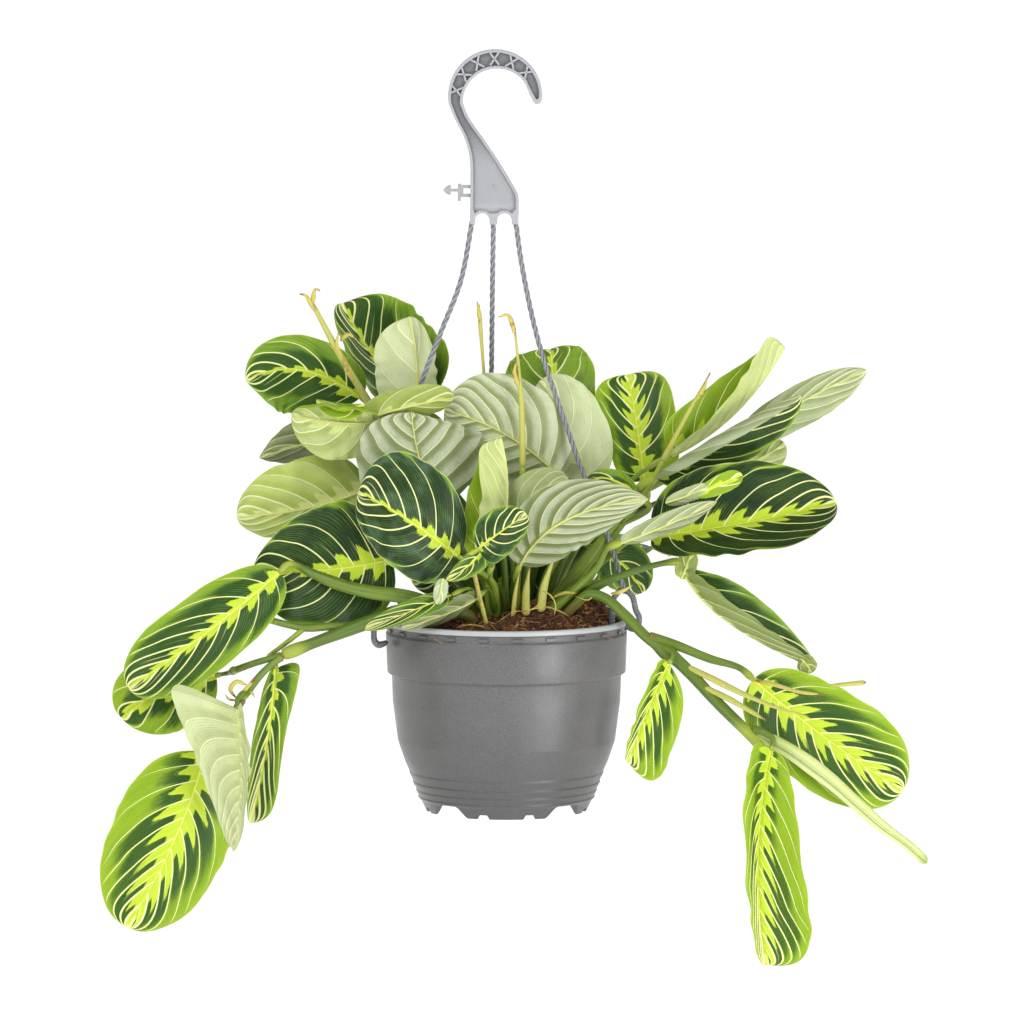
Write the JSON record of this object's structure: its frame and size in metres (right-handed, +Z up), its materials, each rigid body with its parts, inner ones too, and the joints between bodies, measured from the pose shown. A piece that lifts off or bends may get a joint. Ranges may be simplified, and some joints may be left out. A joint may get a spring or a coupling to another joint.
{
  "type": "potted prayer plant in a hanging pot",
  "caption": "Prayer plant with broad feathered leaves and trailing stems in a round pot that hangs from a hook on three twisted strands.",
  "frame": {"origin": "the seat of the hook: the lowest point of its inner crest, where a rail or nail bears, midway across its thickness", "axes": "+Z up along the hanging line, +X to the right as seen from the front, +Y to the back; the pot's axis is parallel to Z, 6 mm to the right of the origin"},
  "size_m": [0.5049, 0.2082, 0.5586],
  "materials": {
    "pot": "satin",
    "hanger": "satin",
    "potting_mix": "matte",
    "stem": "satin",
    "dry_stalk": "matte",
    "leaf": "satin"
  },
  "bodies": {
    "root": {"pot": "pot", "potting_mix": "potting_mix", "hanger_hook": "hanger", "hanger_strand_left": "hanger", "hanger_strand_right": "hanger", "hanger_strand_back": "hanger", "rim_clip_left": "hanger", "rim_clip_right": "hanger", "rim_clip_back": "hanger", "crown_stems": "stem", "left_trailing_stem": "stem", "right_trailing_stem": "stem", "flower_stalk_left": "dry_stalk", "flower_stalk_amber": "dry_stalk", "flower_stalk_lime": "stem", "flower_stalk_right": "dry_stalk", "leaf_left_1": "leaf", "leaf_left_2": "leaf", "leaf_left_3": "leaf", "leaf_left_4": "leaf", "leaf_left_5": "leaf", "leaf_left_6": "leaf", "leaf_left_7": "leaf", "leaf_left_8": "leaf", "leaf_left_9": "leaf", "leaf_left_10": "leaf", "leaf_top_1": "leaf", "leaf_top_2": "leaf", "leaf_top_3": "leaf", "leaf_top_4": "leaf", "leaf_top_5": "leaf", "leaf_front_1": "leaf", "leaf_front_2": "leaf", "leaf_front_3": "leaf", "leaf_front_4": "leaf", "leaf_front_5": "leaf", "leaf_right_1": "leaf", "leaf_right_2": "leaf", "leaf_right_3": "leaf", "leaf_right_4": "leaf", "leaf_right_5": "leaf", "leaf_right_6": "leaf", "leaf_right_7": "leaf", "leaf_right_8": "leaf", "leaf_right_9": "leaf", "leaf_right_10": "leaf", "leaf_trail_left_1": "leaf", "leaf_trail_left_2": "leaf", "leaf_trail_left_3": "leaf", "leaf_trail_left_4": "leaf", "leaf_trail_left_5": "leaf", "leaf_trail_right_1": "leaf", "leaf_trail_right_2": "leaf", "leaf_trail_right_3": "leaf", "leaf_back_1": "leaf", "leaf_back_2": "leaf", "leaf_back_3": "leaf", "leaf_back_4": "leaf", "leaf_back_5": "leaf", "leaf_back_6": "leaf"}
  },
  "joints": []
}
